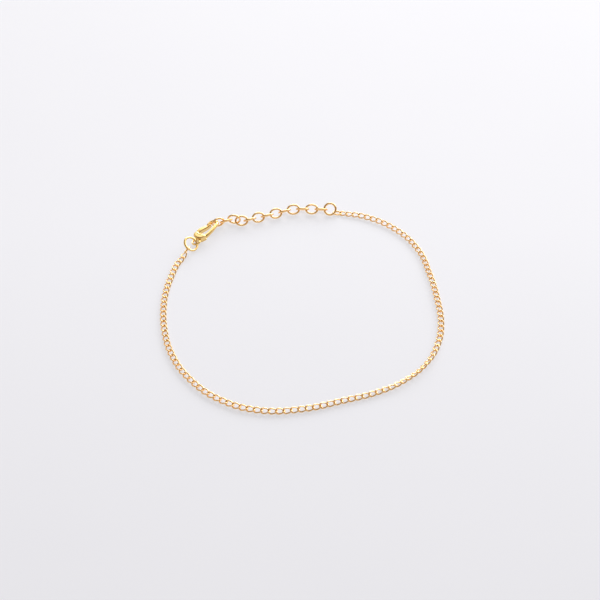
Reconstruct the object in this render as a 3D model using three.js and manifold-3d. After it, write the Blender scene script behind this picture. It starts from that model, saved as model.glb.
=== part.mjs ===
// Fine curb chain anklet with an extender chain and a lobster clasp, lying closed on a flat surface.
// Millimetres, +Z up. X runs to the right and Y away from the front of the loop.
import * as THREE from 'three';
import { mergeVertices } from 'three/addons/utils/BufferGeometryUtils.js';
import Module from 'manifold-3d';

const wasm = await Module();
wasm.setup();

// Sizes of the curb chain: its links, and the outer form of its run
const CURB_WIRE = 0.47;
const CURB_PITCH = 1.83;
const END_LINK_WIDTH = 1.95;
const CURB_RUN_DIAMETER = 1.5;
const CURB_RUN_STEPS = 72;
const FIRST_LINK_ROLL = 52;
const LAST_LINK_ROLL = 0;

// Sizes of the extender links, all alike
const EXTENDER_WIRE = 0.57;
const EXTENDER_LENGTH = 3.98;
const EXTENDER_WIDTH = 3.15;
const LINK_PLAY = 0.1;

// Sizes of the two round jump rings
const CURB_RING_DIAMETER = 3.95;
const CURB_RING_WIRE = 0.62;
const CURB_RING_TILT = 45;
const CLASP_RING_DIAMETER = 4.6;
const CLASP_RING_WIRE = 0.62;

// Sizes of the clasp, measured from the centre of its eye
const CLASP_REACH = 10.1;
const SPINE_SIDE = 2.0;
const LEVER_SIDE = 3.3;
const HOOK_BAR = 0.95;
const HOOK_THICKNESS = 1.15;
const HOOK_TIP_LENGTH = 1.1;
const NOSE_RADIUS = 1.75;
const BASE_THICKNESS = 1.5;
const EYE_DIAMETER = 2.8;
const EYE_HOLE = 1.85;
const EYE_THICKNESS = 0.65;
const LEVER_BAR = 0.9;
const TONGUE_THICKNESS = 0.56;
const PIN_DIAMETER = 0.6;
const PIN_CLEARANCE = 0.06;
const SLOT_CLEARANCE = 0.1;
const TIP_GAP = 0.12;
const TIP_LAP = 0.55;
const EDGE = 0.16;

// Height kept between the lowest metal and the surface
const REST_GAP = 0.02;

// Width and depth of the loop as it lies
const LOOP_WIDTH = 73.6;
const LOOP_DEPTH = 75.8;

// The line of the whole loop as drawn, from the clasp's ring round the front to the clasp's nose. It is
// fitted to the loop's width and depth. The extender takes the length it needs at the end of it, and
// the curb chain takes the rest.
const LOOP_ROUTE = [
  [-32.2, 18.5],
  [-33.5, 15.8],
  [-34.7, 11.1],
  [-35.7, 5.0],
  [-35.8, -2.0],
  [-34.9, -9.5],
  [-32.5, -17.8],
  [-27.3, -26.4],
  [-19.0, -33.5],
  [-9.0, -36.9],
  [1.5, -36.4],
  [11.1, -33.8],
  [20.5, -30.7],
  [27.2, -27.0],
  [32.7, -21.7],
  [36.1, -15.2],
  [37.8, -7.3],
  [37.6, 2.5],
  [36.4, 12.0],
  [34.1, 21.8],
  [28.5, 30.3],
  [20.1, 36.0],
  [11.6, 38.3],
  [3.8, 38.9],
  [-1.4, 38.7],
  [-6.7, 36.8],
  [-11.8, 35.0],
  [-15.8, 33.7],
];

// The rolls of the extender's links in turn from the curb chain to the clasp,
// and the share of the stretched pitch that lies before each.
const EXTENDER_LIE = [
  { roll: -45, share: 0.99 },
  { roll: 45, share: 0.99 },
  { roll: -45, share: 0.98 },
  { roll: 45, share: 0.98 },
  { roll: -45, share: 0.99 },
  { roll: 45, share: 0.99 },
  { roll: -45, share: 0.98 },
  { roll: 45, share: 0.98 },
  { roll: -45, share: 0.95 },
  { roll: 45, share: 0.9 },
  { roll: 83, share: 0.8 },
  { roll: 135, share: 0.86 },
  { roll: 87, share: 0.9 },
];

// Where the clasp and its ring lie
const EYE_DRAWN = [-28.65, 24.6];
const EYE_HEIGHT = 1.1;
const CLASP_HEADING = 57;
const CLASP_LIFT = 3.6;
const CLASP_ROLL = -16;
const HELD_TURN = -26;
const HELD_OFFSET = 0.42;
const HELD_HEADING = 22.5;
const HELD_LEAD = 3.6;
const CLASP_RING_HEADING = 62;
const CLASP_RING_TILT = 38;
const FIRST_LINK_TURN = 188;
const FIRST_LINK_HEADING = 242;

const GOLD = { color: '#e9b566', roughness: 0.22, metalness: 1 };
const LEMON_GOLD = { color: '#dcbc58', roughness: 0.2, metalness: 1 };

const anklet = new THREE.Group();

function place(name, geometry, look) {
  const mesh = new THREE.Mesh(geometry, new THREE.MeshStandardMaterial(look));
  mesh.name = name;
  anklet.add(mesh);
  return mesh;
}

// Solids from three.js geometry and back
function solid(geometry) {
  const bare = geometry.clone();
  bare.deleteAttribute('normal');
  bare.deleteAttribute('uv');
  const merged = mergeVertices(bare, 1e-4);
  return new wasm.Manifold(new wasm.Mesh({
    numProp: 3,
    vertProperties: Float32Array.from(merged.attributes.position.array),
    triVerts: Uint32Array.from(merged.index.array),
  }));
}

function geometryOf(body) {
  const mesh = body.getMesh();
  const geometry = new THREE.BufferGeometry();
  geometry.setAttribute('position', new THREE.BufferAttribute(Float32Array.from(mesh.vertProperties), 3));
  geometry.setIndex(new THREE.BufferAttribute(Uint32Array.from(mesh.triVerts), 1));
  geometry.computeVertexNormals();
  return geometry;
}

// The middle line of a flat oval link
class LinkCurve extends THREE.Curve {
  constructor(halfLength, halfWidth) {
    super();
    this.halfLength = halfLength;
    this.halfWidth = halfWidth;
  }

  getPoint(t, target = new THREE.Vector3()) {
    const turn = t * Math.PI * 2;
    return target.set(this.halfLength * Math.cos(turn), this.halfWidth * Math.sin(turn), 0);
  }
}

function linkGeometry(length, width, wire, sides, wireSides) {
  const curve = new LinkCurve((length - wire) / 2, (width - wire) / 2);
  return new THREE.TubeGeometry(curve, sides, wire / 2, wireSides, true);
}

// A frame whose X runs along the heading and whose Y is turned up from the surface by the roll
function lie(heading, roll, position) {
  const turn = new THREE.Euler(THREE.MathUtils.degToRad(roll), 0, heading, 'ZYX');
  return new THREE.Matrix4().makeRotationFromEuler(turn).setPosition(position);
}

// The height of a link's centre above the surface for its widest points to rest there
function restHeight(width, wire, roll) {
  const rise = Math.abs(Math.sin(THREE.MathUtils.degToRad(roll)));
  return REST_GAP + wire / 2 + rise * (width - wire) / 2;
}

// The drawn line and the drawn place of the clasp's eye, fitted to the loop
const drawnSize = new THREE.Box2()
  .setFromPoints(LOOP_ROUTE.map(([x, y]) => new THREE.Vector2(x, y)))
  .getSize(new THREE.Vector2());
function fitted([x, y], z) {
  return new THREE.Vector3(x * LOOP_WIDTH / drawnSize.x, y * LOOP_DEPTH / drawnSize.y, z);
}
const eyePlace = fitted(EYE_DRAWN, EYE_HEIGHT);

// Clasp: its own frame has X from the eye to the nose and Y towards the lever
const clasp = new THREE.Group();
clasp.rotation.set(
  THREE.MathUtils.degToRad(CLASP_ROLL),
  THREE.MathUtils.degToRad(-CLASP_LIFT),
  THREE.MathUtils.degToRad(CLASP_HEADING),
  'ZYX',
);
clasp.position.copy(eyePlace);
anklet.add(clasp);

function slab(shape, thickness, edge) {
  const corners = shape.getPoints(7).filter((point, i, all) => point.distanceTo(all.at(i - 1)) > 0.01);
  const geometry = new THREE.ExtrudeGeometry(new THREE.Shape(corners), {
    depth: thickness - 2 * edge,
    bevelEnabled: edge > 0,
    bevelThickness: edge,
    bevelSize: edge,
    bevelOffset: -edge,
    bevelSegments: 2,
  });
  geometry.translate(0, 0, edge - thickness / 2);
  return geometry;
}

function upright(radius, height, x, y, sides) {
  const geometry = new THREE.CylinderGeometry(radius, radius, height, sides);
  geometry.rotateX(Math.PI / 2);
  geometry.translate(x, y, 0);
  return geometry;
}

const baseEnd = EYE_DIAMETER / 2 - 0.25;
const knuckle = PIN_DIAMETER / 2 + 0.42;
const pivotX = baseEnd + 1.7;
const pivotY = LEVER_SIDE - knuckle - 0.65;
const noseCentre = new THREE.Vector2(CLASP_REACH - NOSE_RADIUS, NOSE_RADIUS - SPINE_SIDE * 0.78);
const innerNose = NOSE_RADIUS - HOOK_BAR;
const noseStart = THREE.MathUtils.degToRad(-62);
const noseEnd = Math.PI / 2;

// The hook: spine on the lower side, round the nose and back to the tip
const hookShape = new THREE.Shape();
hookShape.moveTo(baseEnd - 0.35, -0.7);
hookShape.quadraticCurveTo(baseEnd + 0.5, -SPINE_SIDE * 0.82, baseEnd + 2.0, -SPINE_SIDE * 0.94);
hookShape.quadraticCurveTo(
  noseCentre.x - 2.2,
  -SPINE_SIDE * 1.05,
  noseCentre.x + NOSE_RADIUS * Math.cos(noseStart),
  noseCentre.y + NOSE_RADIUS * Math.sin(noseStart),
);
hookShape.absarc(noseCentre.x, noseCentre.y, NOSE_RADIUS, noseStart, noseEnd, false);
hookShape.lineTo(noseCentre.x - HOOK_TIP_LENGTH, noseCentre.y + NOSE_RADIUS - 0.08);
hookShape.quadraticCurveTo(
  noseCentre.x - HOOK_TIP_LENGTH - 0.25,
  noseCentre.y + NOSE_RADIUS - HOOK_BAR * 0.5,
  noseCentre.x - HOOK_TIP_LENGTH,
  noseCentre.y + innerNose + 0.12,
);
hookShape.lineTo(noseCentre.x, noseCentre.y + innerNose);
hookShape.absarc(noseCentre.x, noseCentre.y, innerNose, noseEnd, noseStart, true);
hookShape.quadraticCurveTo(
  noseCentre.x - 2.2,
  HOOK_BAR - SPINE_SIDE * 1.02,
  baseEnd + 2.4,
  HOOK_BAR - SPINE_SIDE * 0.94,
);
hookShape.quadraticCurveTo(baseEnd + 1.6, HOOK_BAR - SPINE_SIDE * 0.9, baseEnd + 1.0, 0.1);
hookShape.lineTo(baseEnd - 0.35, 0.7);

// The base: two cheeks that hold the lever's pin, joined behind it
const baseShape = new THREE.Shape();
baseShape.moveTo(baseEnd - 0.2, -0.85);
baseShape.quadraticCurveTo(baseEnd + 0.4, -SPINE_SIDE * 0.76, baseEnd + 1.4, -SPINE_SIDE * 0.88);
baseShape.lineTo(baseEnd + 1.9, HOOK_BAR - SPINE_SIDE * 0.95);
baseShape.quadraticCurveTo(baseEnd + 1.7, pivotY - knuckle - 0.1, pivotX + 0.1, pivotY - knuckle);
baseShape.absarc(pivotX, pivotY, knuckle, -Math.PI / 2 + 0.14, Math.PI / 2 + 0.2, false);
baseShape.quadraticCurveTo(baseEnd + 0.4, LEVER_SIDE * 0.66, baseEnd - 0.2, 0.85);

const slotReach = knuckle + SLOT_CLEARANCE;
const slotThickness = TONGUE_THICKNESS + 2 * SLOT_CLEARANCE;
const slotShape = new THREE.Shape();
slotShape.moveTo(pivotX + 2 * slotReach, pivotY - slotReach * 1.5);
slotShape.lineTo(pivotX + 2 * slotReach, pivotY + 3 * slotReach);
slotShape.lineTo(pivotX - slotReach, pivotY + 3 * slotReach);
slotShape.lineTo(pivotX - slotReach, pivotY);
slotShape.absarc(pivotX, pivotY, slotReach, Math.PI, Math.PI * 1.5, false);

const pinHole = PIN_DIAMETER / 2 + PIN_CLEARANCE;
const eyeDisc = upright(EYE_DIAMETER / 2, EYE_THICKNESS, 0, 0, 24);
const eyeHole = upright(EYE_HOLE / 2, BASE_THICKNESS * 3, 0, 0, 20);
const claspBody = solid(slab(hookShape, HOOK_THICKNESS, EDGE))
  .add(solid(slab(baseShape, BASE_THICKNESS, EDGE)))
  .add(solid(eyeDisc))
  .subtract(solid(eyeHole))
  .subtract(solid(slab(slotShape, slotThickness, 0)))
  .subtract(solid(upright(pinHole, BASE_THICKNESS * 2, pivotX, pivotY, 16)));
const claspMesh = place('clasp_body', geometryOf(claspBody), LEMON_GOLD);
clasp.add(claspMesh);

// The lever: a tongue in the slot, and the bar that laps inside the hook's tip
const tipX = noseCentre.x - HOOK_TIP_LENGTH;
const lapTop = noseCentre.y + innerNose - TIP_GAP;
const leverTop = noseCentre.y + NOSE_RADIUS + 0.1;
const leverShape = new THREE.Shape();
leverShape.moveTo(pivotX, pivotY - LEVER_BAR * 0.5);
leverShape.lineTo(pivotX + 1.4, pivotY - LEVER_BAR * 0.45);
leverShape.quadraticCurveTo(tipX - 1.0, lapTop - LEVER_BAR * 0.75, tipX + TIP_LAP, lapTop - LEVER_BAR * 0.6);
leverShape.lineTo(tipX + TIP_LAP, lapTop);
leverShape.lineTo(tipX - TIP_GAP - 0.25, lapTop);
leverShape.lineTo(tipX - TIP_GAP - 0.35, leverTop - 0.15);
leverShape.quadraticCurveTo(tipX - 1.4, LEVER_SIDE * 1.02, pivotX + 1.2, LEVER_SIDE * 0.93);
leverShape.quadraticCurveTo(pivotX + 0.4, LEVER_SIDE * 0.82, pivotX, pivotY + LEVER_BAR * 0.6);

const leverBar = solid(slab(leverShape, HOOK_THICKNESS, EDGE))
  .subtract(solid(upright(slotReach, BASE_THICKNESS * 2, pivotX, pivotY, 32)));
const tongueShape = new THREE.Shape();
tongueShape.absarc(pivotX, pivotY, knuckle - 0.04, 0, Math.PI * 2);
const neckShape = new THREE.Shape();
neckShape.moveTo(pivotX, pivotY - LEVER_BAR * 0.45);
neckShape.lineTo(pivotX + slotReach + 0.5, pivotY - LEVER_BAR * 0.35);
neckShape.lineTo(pivotX + slotReach + 0.5, pivotY + LEVER_BAR * 0.7);
neckShape.lineTo(pivotX, pivotY + LEVER_BAR * 0.6);
const leverBody = leverBar
  .add(solid(slab(tongueShape, TONGUE_THICKNESS, 0)))
  .add(solid(slab(neckShape, TONGUE_THICKNESS, 0)))
  .subtract(solid(upright(pinHole, BASE_THICKNESS * 2, pivotX, pivotY, 16)));
clasp.add(place('clasp_lever', geometryOf(leverBody), LEMON_GOLD));

// The pin, flush with the cheeks
const pin = upright(PIN_DIAMETER / 2, BASE_THICKNESS, pivotX, pivotY, 16);
clasp.add(place('clasp_pin', geometryOf(solid(pin)), LEMON_GOLD));

// Jump ring through the clasp's eye and the curb chain's first link. It rests on its low side,
// and the wire passes the middle of the eye as far round from the heading as the eye's height sets.
const ringWay = THREE.MathUtils.degToRad(CLASP_RING_HEADING);
const ringRadius = (CLASP_RING_DIAMETER - CLASP_RING_WIRE) / 2;
const ringFrame = lie(ringWay, CLASP_RING_TILT, new THREE.Vector3());
const ringX = new THREE.Vector3().setFromMatrixColumn(ringFrame, 0);
const ringY = new THREE.Vector3().setFromMatrixColumn(ringFrame, 1);
const ringHeight = restHeight(CLASP_RING_DIAMETER, CLASP_RING_WIRE, CLASP_RING_TILT);
const eyeTurn = Math.asin((eyePlace.z - ringHeight) / (ringRadius * ringY.z));
const claspRingSpot = eyePlace.clone()
  .addScaledVector(ringX, -ringRadius * Math.cos(eyeTurn))
  .addScaledVector(ringY, -ringRadius * Math.sin(eyeTurn));
const claspRing = place(
  'jump_ring_clasp',
  linkGeometry(CLASP_RING_DIAMETER, CLASP_RING_DIAMETER, CLASP_RING_WIRE, 24, 6),
  LEMON_GOLD,
);
claspRing.applyMatrix4(lie(ringWay, CLASP_RING_TILT, claspRingSpot));

// The line of the loop: it starts at the clasp ring's link and ends where the last link holds the nose
const firstTurn = THREE.MathUtils.degToRad(FIRST_LINK_TURN);
const firstWay = THREE.MathUtils.degToRad(FIRST_LINK_HEADING);
const curbLinkLength = CURB_PITCH + 2 * CURB_WIRE;
const firstReach = curbLinkLength / 2 - CURB_WIRE - CLASP_RING_WIRE / 2 - 2 * LINK_PLAY;
const firstSpot = claspRingSpot.clone()
  .addScaledVector(ringX, ringRadius * Math.cos(firstTurn))
  .addScaledVector(ringY, ringRadius * Math.sin(firstTurn))
  .add(new THREE.Vector3(Math.cos(firstWay) * firstReach, Math.sin(firstWay) * firstReach, 0));
clasp.updateMatrixWorld(true);
const heldTurn = THREE.MathUtils.degToRad(HELD_TURN);
const heldReach = NOSE_RADIUS - HOOK_BAR / 2 + HELD_OFFSET;
const noseSpot = new THREE.Vector3(
  noseCentre.x + heldReach * Math.cos(heldTurn),
  noseCentre.y + heldReach * Math.sin(heldTurn),
  0,
);
noseSpot.applyMatrix4(clasp.matrixWorld);
const heldWay = THREE.MathUtils.degToRad(HELD_HEADING);
const leadSpot = new THREE.Vector3(Math.cos(heldWay), Math.sin(heldWay), 0)
  .multiplyScalar(HELD_LEAD)
  .add(noseSpot);
const loopRun = new THREE.CatmullRomCurve3(
  [firstSpot, ...LOOP_ROUTE.map((point) => fitted(point, 0)), leadSpot, noseSpot]
    .map((point) => point.clone().setZ(0)),
  false,
  'centripetal',
);
loopRun.arcLengthDivisions = 3000;
const loopLength = loopRun.getLength();

// A spot at a distance along the loop and the heading there
function along(distance) {
  const u = THREE.MathUtils.clamp(distance / loopLength, 0, 1);
  const spot = loopRun.getPointAt(u);
  const way = loopRun.getTangentAt(u);
  return { spot, heading: Math.atan2(way.y, way.x) };
}

// Extender: oval links set by turns at right angles, stretched first and bunched near the clasp
const stretched = EXTENDER_LENGTH - 2 * EXTENDER_WIRE - LINK_PLAY;
const fromRing = (EXTENDER_LENGTH + CURB_RING_DIAMETER) / 2 - EXTENDER_WIRE - CURB_RING_WIRE - LINK_PLAY;
let distance = loopLength;
for (let i = EXTENDER_LIE.length - 1; i >= 0; i--) {
  const { roll, share } = EXTENDER_LIE[i];
  const { spot, heading } = along(distance);
  spot.z = restHeight(EXTENDER_WIDTH, EXTENDER_WIRE, roll);
  const link = place(
    `extender_link_${String(i + 1).padStart(2, '0')}`,
    linkGeometry(EXTENDER_LENGTH, EXTENDER_WIDTH, EXTENDER_WIRE, 16, 6),
    GOLD,
  );
  link.applyMatrix4(lie(heading, -roll, spot));
  distance -= (i === 0 ? fromRing : stretched) * share;
}

// Jump ring between the curb chain and the extender, tipped like the links beside it
const curbRing = place(
  'jump_ring_extender',
  linkGeometry(CURB_RING_DIAMETER, CURB_RING_DIAMETER, CURB_RING_WIRE, 20, 6),
  GOLD,
);
const curbRingSeat = along(distance);
curbRingSeat.spot.z = restHeight(CURB_RING_DIAMETER, CURB_RING_WIRE, CURB_RING_TILT);
curbRing.applyMatrix4(lie(curbRingSeat.heading, -CURB_RING_TILT, curbRingSeat.spot));
distance -= (curbLinkLength + CURB_RING_DIAMETER) / 2 - CURB_WIRE - CURB_RING_WIRE - LINK_PLAY;

// Curb chain: the outer form of its run, soldered to a real link at each end
class RunBetween extends THREE.Curve {
  constructor(start, end, height) {
    super();
    this.start = start;
    this.end = end;
    this.height = height;
  }

  getPoint(t, target = new THREE.Vector3()) {
    target.copy(along(this.start + t * (this.end - this.start)).spot);
    target.z = this.height;
    return target;
  }
}

const linkInset = (curbLinkLength - CURB_WIRE) / 2;
const runSection = new THREE.Shape();
runSection.absarc(0, 0, CURB_RUN_DIAMETER / 2, 0, Math.PI * 2);
const runGeometry = new THREE.ExtrudeGeometry(runSection, {
  steps: CURB_RUN_STEPS,
  curveSegments: 4,
  extrudePath: new RunBetween(linkInset, distance - linkInset, REST_GAP + CURB_RUN_DIAMETER / 2),
});

function curbLink(at, roll, height) {
  const { spot, heading } = along(at);
  spot.z = height;
  const geometry = linkGeometry(curbLinkLength, END_LINK_WIDTH, CURB_WIRE, 12, 6);
  geometry.applyMatrix4(lie(heading, roll, spot));
  return solid(geometry);
}

const linkHeight = restHeight(END_LINK_WIDTH, CURB_WIRE, LAST_LINK_ROLL);
const curb = solid(runGeometry)
  .add(curbLink(0, FIRST_LINK_ROLL, firstSpot.z))
  .add(curbLink(distance, LAST_LINK_ROLL, linkHeight));
place('curb_chain', geometryOf(curb), GOLD);

// The origin goes to the middle of the loop on the surface it lies on
anklet.updateMatrixWorld(true);
const box = new THREE.Box3().setFromObject(anklet, true);
const middle = box.getCenter(new THREE.Vector3());
anklet.position.set(-middle.x, -middle.y, -box.min.z);

export default anklet;
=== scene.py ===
import math

import bpy
import numpy as np
from mathutils import Matrix, Vector


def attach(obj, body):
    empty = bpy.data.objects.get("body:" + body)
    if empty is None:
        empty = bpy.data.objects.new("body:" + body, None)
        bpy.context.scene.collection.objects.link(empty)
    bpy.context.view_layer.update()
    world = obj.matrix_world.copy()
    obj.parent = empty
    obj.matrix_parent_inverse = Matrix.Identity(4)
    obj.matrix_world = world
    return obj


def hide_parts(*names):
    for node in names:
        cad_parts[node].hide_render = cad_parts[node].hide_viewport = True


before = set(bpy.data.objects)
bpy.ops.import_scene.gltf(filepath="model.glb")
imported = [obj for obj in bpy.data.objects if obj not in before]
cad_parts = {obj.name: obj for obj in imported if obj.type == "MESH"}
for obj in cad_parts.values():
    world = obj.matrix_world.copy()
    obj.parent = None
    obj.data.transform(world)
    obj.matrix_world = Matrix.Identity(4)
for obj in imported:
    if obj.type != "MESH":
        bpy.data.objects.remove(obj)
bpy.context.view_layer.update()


# A fine gold anklet, lying closed on a pale board: a curb chain, an extender chain and a lobster clasp.
# The view of it is through a long lens that looks down on the loop from the front. Sizes in this file
# are in millimetres and turns in degrees.
MM = 0.001

bpy.ops.object.camera_add(
    location=(-1.03 * MM, -211.2 * MM, 208.8 * MM),
    rotation=(math.radians(45.2), 0, 0),
)
camera = bpy.context.object
camera.data.lens = 66.16
camera.data.sensor_width = 36
camera.data.shift_x = 0.0045
camera.data.shift_y = 0.0093
camera.data.clip_start = 5 * MM
bpy.context.scene.camera = camera
bpy.context.scene.view_settings.view_transform = "Standard"


# The board it lies on: a plain pale opal sheet, matt, a little cool and faintly clouded. It glows with
# painted light that keeps the shadows as faint as in a bright studio, and this painted glow is brighter
# towards the back.
BOARD = "#8f8f95"
BOARD_CLOUD = "#8b8b92"
CLOUD_SIZE = 45
BOARD_WIDTH = 4000
# The tint of the board's painted glow, and its strength at the front and back edges: painted light that
# fades the shadows, brighter towards the back
PAINTED_GLOW_TINT = "#f9faff"
PAINTED_GLOW_FRONT = 0.543
PAINTED_GLOW_BACK = 0.611
FRONT_EDGE = -100
BACK_EDGE = 30


def linear(code):
    """An sRGB hex colour as a linear one."""
    parts = [int(code[i:i + 2], 16) / 255 for i in (1, 3, 5)]
    return tuple(p / 12.92 if p <= 0.04045 else ((p + 0.055) / 1.055) ** 2.4 for p in parts) + (1.0,)


def add_node(tree, kind, inputs, **settings):
    """A node with its settings. An input that is a socket is linked, any other sets the value."""
    made = tree.nodes.new(kind)
    for name, value in settings.items():
        setattr(made, name, value)
    for name, value in inputs.items():
        # Sockets that share a name are given by number
        in_use = [socket for socket in made.inputs if socket.name == name and socket.enabled]
        socket = in_use[0] if in_use else made.inputs[name]
        if isinstance(value, bpy.types.NodeSocket):
            tree.links.new(value, socket)
        else:
            socket.default_value = value
    return made


board_finish = bpy.data.materials.new("opal_sheet_with_painted_glow")
board_finish.use_nodes = True
tree = board_finish.node_tree
shader = tree.nodes["Principled BSDF"]
shader.inputs["Roughness"].default_value = 0.55
shader.inputs["Specular IOR Level"].default_value = 0.3
# The board's emission is painted light: the sheet glows though it is no lamp
shader.inputs["Emission Color"].default_value = linear(PAINTED_GLOW_TINT)
place = add_node(tree, "ShaderNodeTexCoord", {})
cloud = add_node(
    tree,
    "ShaderNodeTexNoise",
    {"Vector": place.outputs["Object"], "Scale": 1000 / CLOUD_SIZE, "Detail": 3.0},
)
tint = add_node(
    tree,
    "ShaderNodeMix",
    {"Factor": cloud.outputs["Fac"], "A": linear(BOARD), "B": linear(BOARD_CLOUD)},
    data_type="RGBA",
)
tree.links.new(tint.outputs[2], shader.inputs["Base Color"])
across = add_node(tree, "ShaderNodeSeparateXYZ", {"Vector": place.outputs["Object"]})
# Painted glow: the board's emission grows from front to back, a painted fall-off of light that also
# fades the shadows
painted_glow = add_node(
    tree,
    "ShaderNodeMapRange",
    {
        "Value": across.outputs["Y"],
        "From Min": FRONT_EDGE * MM,
        "From Max": BACK_EDGE * MM,
        "To Min": PAINTED_GLOW_FRONT,
        "To Max": PAINTED_GLOW_BACK,
    },
)
tree.links.new(painted_glow.outputs["Result"], shader.inputs["Emission Strength"])

bpy.ops.object.select_all(action="DESELECT")
bpy.ops.mesh.primitive_plane_add(size=BOARD_WIDTH * MM)
board = bpy.context.object
board.name = "board"
board.data.materials.append(board_finish)


# The light: tall bright windows along the back and the right, a low pale wall on the other sides, and a
# dark brown ceiling. The polished wire shows the windows and the wall as near-white lines, and the
# ceiling as a darker one between them.
WINDOWS_WAY = (0.42, 0.91, 0.0)
# How far a direction has to agree with the windows' way for their light to begin, and to be full
WINDOWS_BEGIN = 0.62
WINDOWS_FULL = 0.87
DAYLIGHT = 5.8
# The tones of each side from the floor to the middle of the ceiling, at the sine of their height
WALL_TONES = [
    (0, (0.13, 0.115, 0.09)),
    (0.32, (0.13, 0.115, 0.09)),
    (0.46, (0.042, 0.034, 0.026)),
    (0.84, (0.048, 0.040, 0.031)),
    (1, (0.10, 0.09, 0.08)),
]
WINDOW_TONES = [
    (0, (0.04, 0.03, 0.02)),
    (0.12, (0.04, 0.03, 0.02)),
    (0.26, (1, 1, 1)),
    (0.60, (1, 1, 1)),
    (0.68, (0.24, 0.23, 0.22)),
    (0.82, (0.24, 0.23, 0.22)),
    (1, (0.10, 0.09, 0.08)),
]

world = bpy.context.scene.world or bpy.data.worlds.new("room")
bpy.context.scene.world = world
world.use_nodes = True
tree = world.node_tree
way = add_node(tree, "ShaderNodeTexCoord", {})
upward = add_node(tree, "ShaderNodeSeparateXYZ", {"Vector": way.outputs["Generated"]})
flat = add_node(
    tree,
    "ShaderNodeVectorMath",
    {0: way.outputs["Generated"], 1: (1, 1, 0)},
    operation="MULTIPLY",
)
level = add_node(tree, "ShaderNodeVectorMath", {0: flat.outputs["Vector"]}, operation="NORMALIZE")
facing = add_node(
    tree,
    "ShaderNodeVectorMath",
    {0: level.outputs["Vector"], 1: WINDOWS_WAY},
    operation="DOT_PRODUCT",
)
windowed = add_node(
    tree,
    "ShaderNodeMapRange",
    {"Value": facing.outputs["Value"], "From Min": WINDOWS_BEGIN, "From Max": WINDOWS_FULL},
)


def side_of_room(tones):
    """One side of the room, as a ramp of tones over the height."""
    side = add_node(tree, "ShaderNodeValToRGB", {"Fac": upward.outputs["Z"]})
    ramp = side.color_ramp
    ramp.elements[0].color = (*tones[0][1], 1)
    ramp.elements[1].color = (*tones[-1][1], 1)
    for sine, tone in tones[1:-1]:
        ramp.elements.new(sine).color = (*tone, 1)
    return side


wall = side_of_room(WALL_TONES)
windows = side_of_room(WINDOW_TONES)
room = add_node(
    tree,
    "ShaderNodeMix",
    {"Factor": windowed.outputs["Result"], "A": wall.outputs["Color"], "B": windows.outputs["Color"]},
    data_type="RGBA",
)
tree.links.new(room.outputs[2], tree.nodes["Background"].inputs["Color"])
tree.nodes["Background"].inputs["Strength"].default_value = DAYLIGHT


# Curb chain: about a hundred little ovals of round brass wire, each curled so that the chain lies flat,
# soldered shut, then polished in a drum and gold plated. It leans one way and the other as it lies, and
# its last link at each end is a little larger.
LINK_LENGTH = 2.68
LINK_WIDTH = 1.88
LINK_WIRE = 0.42
LINK_PITCH = 1.83
LINK_CURL = -90
END_LINK_LENGTH = 2.77
END_LINK_WIDTH = 1.95
END_LINK_WIRE = 0.47
# Across, away and roll of the chain round the loop, from the clasp's ring to the extender's. A positive
# roll leans the faces of the links outwards.
CHAIN_ROUTE = [
    (-31.98, 19.9, 40),
    (-33.2, 17.4, 4),
    (-34.5, 14.7, -16),
    (-35.7, 10.0, -12),
    (-36.7, 3.9, 2),
    (-36.8, -3.1, 8),
    (-35.9, -10.6, 12),
    (-33.5, -18.9, 10),
    (-28.3, -27.5, 4),
    (-20.0, -34.6, 8),
    (-10.0, -38.0, 12),
    (0.5, -37.5, 14),
    (10.1, -34.9, 10),
    (19.5, -31.8, 0),
    (26.2, -28.1, -26),
    (31.7, -22.8, -40),
    (35.1, -16.3, -16),
    (36.8, -8.4, 6),
    (36.6, 1.4, 10),
    (35.4, 10.9, 6),
    (33.1, 20.7, 0),
    (27.5, 29.2, -14),
    (19.1, 34.9, -20),
    (10.75, 37.13, 0),
]
# How high the middle of the chain lies over the board where the links are flat, how much higher where
# they lean all they can, and where it hangs in a ring at each end
FLAT_HEIGHT = 0.61
LEANING_RISE = 0.26
FULL_LEAN = 45
HEIGHT_AT_CLASP = 1.51
HEIGHT_AT_EXTENDER = 0.44
CHAIN_GOLD = "#ffdfac"
CHAIN_GOLD_DEEP = "#fdcc88"
# How far the tone takes to drift, how far apart the marks of the drum lie, and how deep they are
TONE_DRIFT = 3.0
DRUM_MARKS = 0.15
DRUM_MARK_DEPTH = 0.03


def plated_gold(name, colour, deep):
    """Gold-plated brass from a polishing drum: mirror bright with a faint unevenness, and a tone that
    drifts a little over a few millimetres, so neighbouring links never look quite alike."""
    material = bpy.data.materials.new(name)
    material.use_nodes = True
    tree = material.node_tree
    shader = tree.nodes["Principled BSDF"]
    shader.inputs["Metallic"].default_value = 1.0
    place = add_node(tree, "ShaderNodeTexCoord", {})
    drift = add_node(
        tree,
        "ShaderNodeTexNoise",
        {"Vector": place.outputs["Object"], "Scale": 1000 / TONE_DRIFT, "Detail": 2.0},
    )
    tone = add_node(
        tree,
        "ShaderNodeMix",
        {"Factor": drift.outputs["Fac"], "A": linear(colour), "B": linear(deep)},
        data_type="RGBA",
    )
    tree.links.new(tone.outputs[2], shader.inputs["Base Color"])
    # The drum's own marks are finer than a hair, and are drawn coarser so that they show close up
    marks = add_node(
        tree,
        "ShaderNodeTexNoise",
        {"Vector": place.outputs["Object"], "Scale": 1000 / DRUM_MARKS, "Detail": 3.0},
    )
    haze = add_node(
        tree,
        "ShaderNodeMapRange",
        {"Value": marks.outputs["Fac"], "To Min": 0.07, "To Max": 0.15},
    )
    tree.links.new(haze.outputs["Result"], shader.inputs["Roughness"])
    ripple = add_node(
        tree,
        "ShaderNodeBump",
        {"Height": marks.outputs["Fac"], "Strength": 0.06, "Distance": DRUM_MARK_DEPTH * MM},
    )
    tree.links.new(ripple.outputs["Normal"], shader.inputs["Normal"])
    return material


chain_gold = plated_gold("gold_plated_chain_brass", CHAIN_GOLD, CHAIN_GOLD_DEEP)


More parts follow.
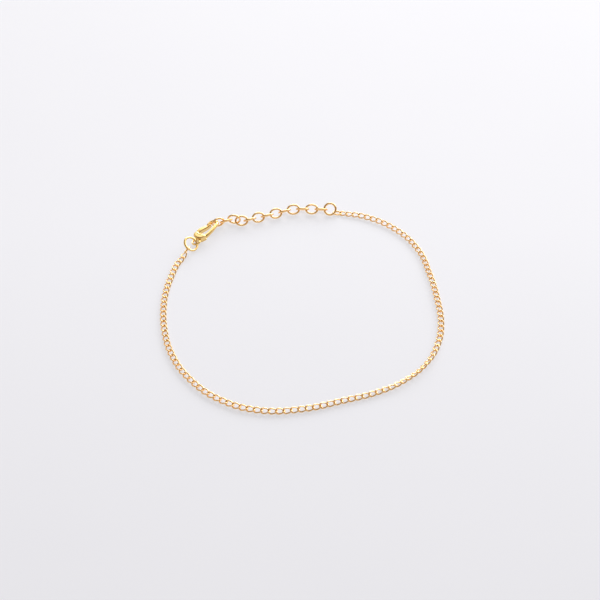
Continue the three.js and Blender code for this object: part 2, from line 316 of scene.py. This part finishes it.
def oval_of_wire(name, length, width, wire, steps, sides):
    """A closed oval of round wire, lying flat at the origin with its length along X."""
    bpy.ops.object.select_all(action="DESELECT")
    bpy.ops.curve.primitive_bezier_circle_add(radius=1)
    oval = bpy.context.object
    oval.name = name
    bpy.ops.object.mode_set(mode="EDIT")
    bpy.ops.transform.resize(value=((length - wire) / 2 * MM, (width - wire) / 2 * MM, 1))
    bpy.ops.object.mode_set(mode="OBJECT")
    oval.data.resolution_u = steps // 4
    oval.data.bevel_depth = wire / 2 * MM
    oval.data.bevel_resolution = sides // 2 - 2
    bpy.ops.object.convert(target="MESH")
    bpy.ops.object.shade_smooth()
    return bpy.context.object


def drawn_line(name, points):
    """A smooth line through points in millimetres, drawn point after point."""
    bpy.ops.object.select_all(action="DESELECT")
    bpy.ops.curve.primitive_bezier_curve_add()
    line = bpy.context.object
    line.name = name
    bpy.ops.object.mode_set(mode="EDIT")
    bpy.ops.curve.select_all(action="DESELECT")
    line.data.splines[0].bezier_points[1].select_control_point = True
    bpy.ops.curve.delete(type="VERT")
    only = line.data.splines[0].bezier_points[0]
    only.select_control_point = True
    only.select_left_handle = True
    only.select_right_handle = True
    bpy.ops.transform.translate(value=Vector(points[0]) * MM - only.co)
    for point in points[1:]:
        bpy.ops.curve.vertex_add(location=Vector(point) * MM)
    bpy.ops.curve.select_all(action="SELECT")
    bpy.ops.curve.handle_type_set(type="AUTOMATIC")
    bpy.ops.object.mode_set(mode="OBJECT")
    return line


def resting_height(roll):
    """How high the middle of the chain lies over the board at a roll."""
    return FLAT_HEIGHT + LEANING_RISE * min(abs(roll), FULL_LEAN) / FULL_LEAN


route = drawn_line("chain_route", [(x, y, resting_height(roll)) for x, y, roll in CHAIN_ROUTE])
knots = route.data.splines[0].bezier_points
for knot, (x, y, roll) in zip(knots, CHAIN_ROUTE):
    knot.tilt = math.radians(roll)
knots[0].co.z = HEIGHT_AT_CLASP * MM
knots[-1].co.z = HEIGHT_AT_EXTENDER * MM
route.data.resolution_u = 24
route_length = route.data.splines[0].calc_length() / MM
link_count = round(route_length / LINK_PITCH) - 1
pitch = route_length / (link_count + 1)

# One link is curled, then repeated in a straight row that starts one pitch in, then bent along the route
curb = oval_of_wire("curb_links", LINK_LENGTH, LINK_WIDTH, LINK_WIRE, steps=20, sides=6)
curl = curb.modifiers.new("curl", "SIMPLE_DEFORM")
curl.deform_method = "TWIST"
curl.deform_axis = "X"
curl.angle = math.radians(LINK_CURL)
bpy.ops.object.modifier_apply(modifier=curl.name)
bpy.ops.object.mode_set(mode="EDIT")
bpy.ops.mesh.select_all(action="SELECT")
bpy.ops.transform.translate(value=(pitch * MM, 0, 0))
bpy.ops.object.mode_set(mode="OBJECT")
row = curb.modifiers.new("row", "ARRAY")
row.count = link_count
row.use_relative_offset = False
row.use_constant_offset = True
row.constant_offset_displace = (pitch * MM, 0, 0)
bend = curb.modifiers.new("bend", "CURVE")
bend.object = route
bend.deform_axis = "POS_X"
bpy.ops.object.modifier_apply(modifier=row.name)
bpy.ops.object.modifier_apply(modifier=bend.name)
curb.data.materials.append(chain_gold)
bpy.data.objects.remove(route)


def set_down(piece, seat):
    """Puts a piece that was made at the origin where it belongs, with its place in its mesh."""
    piece.matrix_world = seat
    bpy.ops.object.select_all(action="DESELECT")
    piece.select_set(True)
    bpy.context.view_layer.objects.active = piece
    bpy.ops.object.transform_apply(location=True, rotation=True, scale=True)


def lying(x, y, z, heading, roll):
    """A seat, with X turned to a heading and then rolled about itself."""
    turn = Matrix.Rotation(math.radians(heading), 4, "Z") @ Matrix.Rotation(math.radians(roll), 4, "X")
    return Matrix.Translation(Vector((x, y, z)) * MM) @ turn


end_links = [
    ("curb_end_clasp", lying(-31.985, 19.905, 1.513, heading=-116.1, roll=52)),
    ("curb_end_extender", lying(10.687, 37.143, 0.384, heading=170.2, roll=0)),
]
for name, seat in end_links:
    link = oval_of_wire(name, END_LINK_LENGTH, END_LINK_WIDTH, END_LINK_WIRE, steps=32, sides=12)
    set_down(link, seat)
    link.data.materials.append(chain_gold)
    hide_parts("curb_chain")
    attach(link, "anklet")
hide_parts("curb_chain")
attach(curb, "anklet")


# Extender: thirteen oval links of round wire, bent on a mandrel and closed by solder, plated with the
# curb chain. They stand by turns on one edge and the other, and bunch up beside the clasp.
EXTENDER_LINKS = 13
EXTENDER_LENGTH = 3.98
EXTENDER_WIDTH = 3.15
EXTENDER_WIRE = 0.57


def seat_of(node):
    """The place and tilt of a CAD node, with X along its longest side and Z through its thinnest."""
    spots = np.array([vertex.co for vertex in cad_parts[node].data.vertices])
    middle = (spots.max(axis=0) + spots.min(axis=0)) / 2
    spots = spots - spots.mean(axis=0)
    ways = np.linalg.eigh(spots.T @ spots)[1]
    x, z = Vector(ways[:, 2]), Vector(ways[:, 0])
    y = z.cross(x)
    return Matrix.Translation(Vector(middle)) @ Matrix((x, y, z)).transposed().to_4x4()


for number in range(1, EXTENDER_LINKS + 1):
    node = f"extender_link_{number:02d}"
    name = f"oval_{number:02d}"
    link = oval_of_wire(name, EXTENDER_LENGTH, EXTENDER_WIDTH, EXTENDER_WIRE, steps=48, sides=14)
    set_down(link, seat_of(node))
    link.data.materials.append(chain_gold)
    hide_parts(node)
    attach(link, "anklet")


# Jump rings: round rings of thicker wire, sawn from a coil and closed by hand, with a hair-fine seam.
# One joins the two chains, and the other, in the clasp's paler gold, holds the clasp.
RING_BETWEEN_CHAINS = 3.95
RING_AT_CLASP = 4.6
RING_WIRE = 0.62
RING_SEAM = 0.06
# Faces that meet at a greater angle than this keep a sharp edge between them
EDGE_ANGLE = 50
CLASP_GOLD = "#f9da9c"
CLASP_GOLD_DEEP = "#eec97c"
clasp_gold = plated_gold("gold_plated_cast_brass", CLASP_GOLD, CLASP_GOLD_DEEP)


def jump_ring(name, node, diameter, seam_turn, gold):
    """A closed ring in the seat of its CAD node, with its seam turned round to where it lies."""
    ring = oval_of_wire(name, diameter, diameter, RING_WIRE, steps=64, sides=14)
    # The seam is a thin slice taken out across the wire
    bpy.ops.object.mode_set(mode="EDIT")
    for side in (-1, 1):
        bpy.ops.mesh.select_all(action="SELECT")
        bpy.ops.mesh.bisect(plane_co=(0, side * RING_SEAM / 2 * MM, 0), plane_no=(0, 1, 0))
    bpy.ops.mesh.select_all(action="DESELECT")
    bpy.ops.mesh.select_mode(type="FACE")
    bpy.ops.object.mode_set(mode="OBJECT")
    for face in ring.data.polygons:
        face.select = face.center.x > 0 and abs(face.center.y) < RING_SEAM / 2 * MM
    bpy.ops.object.mode_set(mode="EDIT")
    bpy.ops.mesh.delete(type="FACE")
    bpy.ops.mesh.select_all(action="SELECT")
    bpy.ops.mesh.fill_holes(sides=0)
    bpy.ops.object.mode_set(mode="OBJECT")
    bpy.ops.object.shade_smooth_by_angle(angle=math.radians(EDGE_ANGLE))
    set_down(ring, seat_of(node) @ Matrix.Rotation(math.radians(seam_turn), 4, "Z"))
    ring.data.materials.append(gold)
    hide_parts(node)
    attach(ring, "anklet")


jump_ring(
    "ring_between_chains",
    "jump_ring_extender",
    RING_BETWEEN_CHAINS,
    seam_turn=70,
    gold=chain_gold,
)
jump_ring(
    "ring_at_clasp",
    "jump_ring_clasp",
    RING_AT_CLASP,
    seam_turn=200,
    gold=clasp_gold,
)


# Clasp body: a lobster clasp cast in brass, tumbled soft at the edges and plated a paler gold. The hook,
# the two cheeks with the web between them and the ring eye are one casting. It is drawn flat, with its
# length along X from the middle of the eye, and then set down in its seat.
CLASP_SEAT = (
    Matrix.Translation(Vector((-29.680, 23.463, 1.229)) * MM)
    @ Matrix.Rotation(math.radians(57), 4, "Z")
    @ Matrix.Rotation(math.radians(-3.6), 4, "Y")
    @ Matrix.Rotation(math.radians(-16), 4, "X")
)
HOOK_BAR = 0.95
HOOK_THICKNESS = 1.15
# The middle line of the hook from the base round the nose to the tip, and its share of the bar there
HOOK_LINE = [
    (1.2, -0.2, 1.0),
    (2.1, -1.0, 1.1),
    (3.2, -1.38, 1.06),
    (4.6, -1.46, 1.0),
    (6.15, -1.38, 0.98),
    (7.65, -1.2, 1.0),
    (8.85, -0.97, 1.0),
    (9.45, -0.45, 1.0),
    (9.62, 0.2, 1.0),
    (9.44, 0.84, 1.0),
    (8.95, 1.3, 1.0),
    (8.3, 1.47, 0.98),
    (7.7, 1.44, 0.94),
    (7.3, 1.4, 0.8),
    (7.18, 1.38, 0.45),
]
BASE_THICKNESS = 1.5
CHEEK_GAP = 0.76
CHEEK_EDGE = 0.16
CHEEK_LINE = [
    (0.95, -0.85),
    (1.5, -1.4),
    (2.45, -1.76),
    (2.95, -1.3),
    (3.05, -0.4),
    (3.0, 0.6),
    (3.25, 1.3),
    (3.57, 1.93),
    (3.3, 2.5),
    (2.85, 2.65),
    (2.2, 2.5),
    (1.5, 1.9),
    (0.95, 0.85),
]
# The steps in which a cheek swells, inwards and up
CHEEK_SWELL = [(0.16, 0.02), (0.18, 0.014), (0.2, 0.006)]
WEB_EDGE = 0.1
WEB_THICKNESS = CHEEK_GAP + 0.3
WEB_LINE = [
    (0.95, -0.8),
    (1.5, -1.35),
    (2.45, -1.7),
    (2.9, -1.25),
    (2.98, -0.4),
    (2.9, 0.7),
    (2.3, 1.1),
    (1.98, 1.6),
    (1.9, 2.1),
    (1.5, 1.85),
    (0.95, 0.8),
]
EYE_DIAMETER = 2.8
EYE_HOLE = 1.85
EYE_THICKNESS = 0.65
PLATE_EDGE_ANGLE = 40


def cut_plate(name, outline, thickness, edge, lift=0.0):
    """A plate with the outline given and its edges rounded over."""
    plate = drawn_line(name, [(x, y, 0) for x, y in outline])
    plate.data.splines[0].use_cyclic_u = True
    plate.data.dimensions = "2D"
    plate.data.fill_mode = "BOTH"
    plate.data.resolution_u = 6
    plate.data.extrude = (thickness / 2 - edge) * MM
    plate.data.bevel_depth = edge * MM
    plate.data.bevel_resolution = 3
    plate.data.offset = -edge * MM
    bpy.ops.object.convert(target="MESH")
    plate = bpy.context.object
    bpy.ops.object.mode_set(mode="EDIT")
    bpy.ops.mesh.select_all(action="SELECT")
    bpy.ops.mesh.remove_doubles(threshold=0.001 * MM)
    bpy.ops.transform.translate(value=(0, 0, lift * MM))
    bpy.ops.object.mode_set(mode="OBJECT")
    bpy.ops.object.shade_smooth_by_angle(angle=math.radians(PLATE_EDGE_ANGLE))
    return plate


def dome(plate, side, rises):
    """Swells one face of a plate: it is inset and raised a few times, so the light rolls over it."""
    bpy.ops.object.select_all(action="DESELECT")
    plate.select_set(True)
    bpy.context.view_layer.objects.active = plate
    bpy.ops.object.mode_set(mode="EDIT")
    bpy.ops.mesh.select_mode(type="FACE")
    bpy.ops.mesh.select_all(action="DESELECT")
    bpy.ops.object.mode_set(mode="OBJECT")
    for face in plate.data.polygons:
        face.select = face.normal.z * side > 0.999
    bpy.ops.object.mode_set(mode="EDIT")
    bpy.ops.mesh.dissolve_faces()
    for inwards, up in rises:
        bpy.ops.mesh.inset(thickness=inwards * MM, depth=up * MM)
    bpy.ops.object.mode_set(mode="OBJECT")
    bpy.ops.object.shade_smooth_by_angle(angle=math.radians(EDGE_ANGLE))


def drawn_bar(name, line, width, thickness):
    """A rounded bar along a line, each point with its share of the width."""
    bar = drawn_line(name, [(x, y, 0) for x, y, share in line])
    for knot, (x, y, share) in zip(bar.data.splines[0].bezier_points, line):
        knot.radius = share
    bar.data.resolution_u = 5
    bar.data.bevel_depth = width / 2 * MM
    bar.data.bevel_resolution = 6
    bar.data.use_fill_caps = True
    bpy.ops.object.convert(target="MESH")
    bar = bpy.context.object
    bpy.ops.object.mode_set(mode="EDIT")
    bpy.ops.mesh.select_all(action="SELECT")
    bpy.ops.transform.resize(value=(1, 1, thickness / width))
    bpy.ops.object.mode_set(mode="OBJECT")
    bpy.ops.object.shade_smooth_by_angle(angle=math.radians(EDGE_ANGLE))
    return bar


def join(name, pieces):
    """Several parts as one piece."""
    bpy.ops.object.select_all(action="DESELECT")
    for piece in pieces:
        piece.select_set(True)
    bpy.context.view_layer.objects.active = pieces[0]
    bpy.ops.object.join()
    pieces[0].name = name
    return pieces[0]


hook = drawn_bar("hook", HOOK_LINE, HOOK_BAR, HOOK_THICKNESS)
cheek_thickness = (BASE_THICKNESS - CHEEK_GAP) / 2
cheek_lift = (CHEEK_GAP + cheek_thickness) / 2
cheeks = []
for side in (-1, 1):
    cheek = cut_plate("cheek", CHEEK_LINE, cheek_thickness, CHEEK_EDGE, side * cheek_lift)
    dome(cheek, side, CHEEK_SWELL)
    cheeks.append(cheek)
web = cut_plate("web", WEB_LINE, WEB_THICKNESS, WEB_EDGE)
bpy.ops.object.select_all(action="DESELECT")
eye_wire = (EYE_DIAMETER - EYE_HOLE) / 2
bpy.ops.mesh.primitive_torus_add(
    major_segments=48,
    minor_segments=16,
    major_radius=(EYE_DIAMETER - eye_wire) / 2 * MM,
    minor_radius=eye_wire / 2 * MM,
)
eye = bpy.context.object
bpy.ops.object.mode_set(mode="EDIT")
bpy.ops.transform.resize(value=(1, 1, EYE_THICKNESS / eye_wire))
bpy.ops.object.mode_set(mode="OBJECT")
bpy.ops.object.shade_smooth()
body = join("clasp_casting", [hook, *cheeks, web, eye])
set_down(body, CLASP_SEAT)
body.data.materials.append(clasp_gold)
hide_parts("clasp_body")
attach(body, "anklet")


# Clasp lever: a cast bar as thick as the hook, whose tongue goes between the cheeks and turns there on
# the pin. It is tumbled and plated with the body, and its thumb edge is filed thinner.
LEVER_EDGE = 0.26
LEVER_LINE = [
    (3.5, 2.35),
    (4.05, 2.95),
    (4.9, 3.1),
    (5.8, 2.75),
    (6.45, 2.25),
    (6.78, 1.85),
    (6.88, 0.9),
    (7.72, 0.86),
    (7.78, 0.4),
    (7.2, 0.36),
    (6.0, 0.58),
    (4.9, 1.08),
    (3.9, 1.5),
    (3.62, 1.62),
]
THUMB_EDGE_FROM = 1.75
THUMB_EDGE_SHARE = 0.62
TONGUE_THICKNESS = 0.56
TONGUE_EDGE = 0.08
TONGUE_LINE = [
    (2.3, 1.75),
    (2.85, 1.28),
    (3.4, 1.5),
    (4.1, 1.5),
    (4.1, 2.4),
    (3.4, 2.45),
    (2.85, 2.6),
    (2.3, 2.2),
]

lever_bar = cut_plate("lever_bar", LEVER_LINE, HOOK_THICKNESS, LEVER_EDGE)
bpy.ops.object.mode_set(mode="EDIT")
bpy.ops.mesh.select_all(action="DESELECT")
bpy.ops.object.mode_set(mode="OBJECT")
for vertex in lever_bar.data.vertices:
    vertex.select = vertex.co.y > THUMB_EDGE_FROM * MM
bpy.ops.object.mode_set(mode="EDIT")
bpy.ops.transform.resize(value=(1, 1, THUMB_EDGE_SHARE), center_override=(0, 0, 0))
bpy.ops.object.mode_set(mode="OBJECT")
tongue = cut_plate("tongue", TONGUE_LINE, TONGUE_THICKNESS, TONGUE_EDGE)
lever = join("clasp_lever_bar", [lever_bar, tongue])
set_down(lever, CLASP_SEAT)
lever.data.materials.append(clasp_gold)
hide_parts("clasp_lever")
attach(lever, "lever")


# Clasp pin: a brass rivet through the cheeks and the tongue, on which the lever turns. Its two heads are
# peened into low domes, flush with the cheeks, and plated with them.
PIVOT = (2.85, 1.93)
PIN_RADIUS = 0.3
PIN_PEEN = 0.12

bpy.ops.object.select_all(action="DESELECT")
bpy.ops.mesh.primitive_cylinder_add(vertices=32, radius=PIN_RADIUS * MM, depth=BASE_THICKNESS * MM)
pin = bpy.context.object
pin.name = "rivet"
peen = pin.modifiers.new("peen", "BEVEL")
peen.width = PIN_PEEN * MM
peen.segments = 4
bpy.ops.object.modifier_apply(modifier=peen.name)
bpy.ops.object.shade_smooth_by_angle(angle=math.radians(PLATE_EDGE_ANGLE))
set_down(pin, CLASP_SEAT @ Matrix.Translation(Vector((*PIVOT, 0)) * MM))
pin.data.materials.append(clasp_gold)
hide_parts("clasp_pin")
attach(pin, "anklet")
